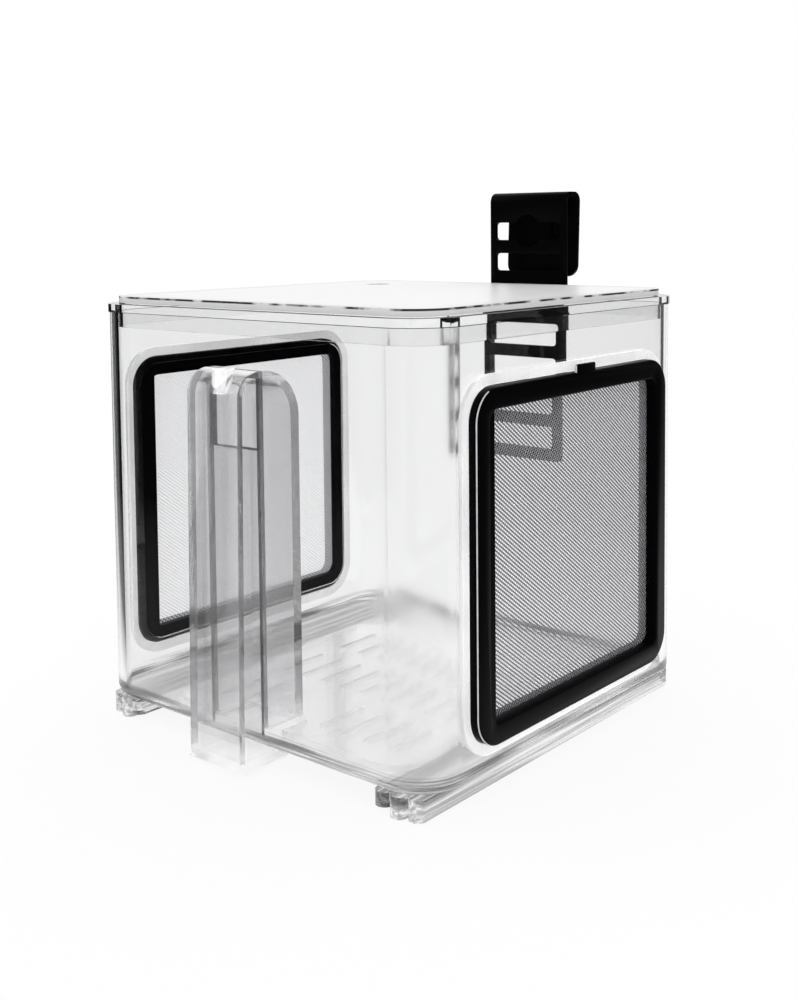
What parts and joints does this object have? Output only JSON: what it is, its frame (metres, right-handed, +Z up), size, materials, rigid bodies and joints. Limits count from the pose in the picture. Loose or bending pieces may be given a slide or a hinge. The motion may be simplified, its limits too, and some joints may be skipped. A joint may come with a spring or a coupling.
{
  "type": "fish breeding box",
  "caption": "Clear hang-on breeding box with mesh side windows, lift-off lid, air-lift duct, slotted floor plate and a black hook that slides on a ladder rack.",
  "frame": {"origin": "on the ground under the middle of the whole outline", "axes": "+Z up, the duct faces -Y, the hook hangs on the +Y side, the mesh windows face -X and +X"},
  "size_m": [0.169, 0.1876, 0.1956],
  "materials": {
    "clear_tub": "clear, glossy",
    "clear_skid": "clear, glossy",
    "clear_lid": "clear, glossy",
    "clear_collar": "clear, glossy",
    "clear_duct": "clear, glossy",
    "clear_plate": "clear, glossy",
    "black_frame": "satin",
    "black_clamp": "satin",
    "mesh": "woven mesh",
    "port": "glossy",
    "black_hanger": "satin",
    "grip_pad": "matte"
  },
  "bodies": {
    "box": {"tub": "clear_tub", "skid_left": "clear_skid", "skid_right": "clear_skid", "collar_left": "clear_collar", "collar_right": "clear_collar", "riser": "clear_duct", "downcomer": "clear_duct", "air_port": "port", "rack": "black_hanger"},
    "lid": {"lid": "clear_lid"},
    "window_left": {"frame_left": "black_frame", "mesh_left": "mesh", "clamp_left": "black_clamp"},
    "window_right": {"frame_right": "black_frame", "mesh_right": "mesh", "clamp_right": "black_clamp"},
    "floor_plate": {"floor_plate": "clear_plate"},
    "hook": {"hook": "black_hanger", "grip_pad": "grip_pad"}
  },
  "joints": [
    {"name": "lid_lift", "type": "slide", "parent": "box", "child": "lid", "axis": [0, 0, 1], "range_m": [0, 0.06]},
    {"name": "window_left_pull", "type": "slide", "parent": "box", "child": "window_left", "axis": [-1, 0, 0], "range_m": [0, 0.03]},
    {"name": "window_right_pull", "type": "slide", "parent": "box", "child": "window_right", "axis": [1, 0, 0], "range_m": [0, 0.03]},
    {"name": "plate_lift", "type": "slide", "parent": "box", "child": "floor_plate", "axis": [0, 0, 1], "range_m": [0, 0.12]},
    {"name": "hook_slide", "type": "slide", "parent": "box", "child": "hook", "axis": [0, 0, 1], "range_m": [-0.041, 0.018]}
  ]
}
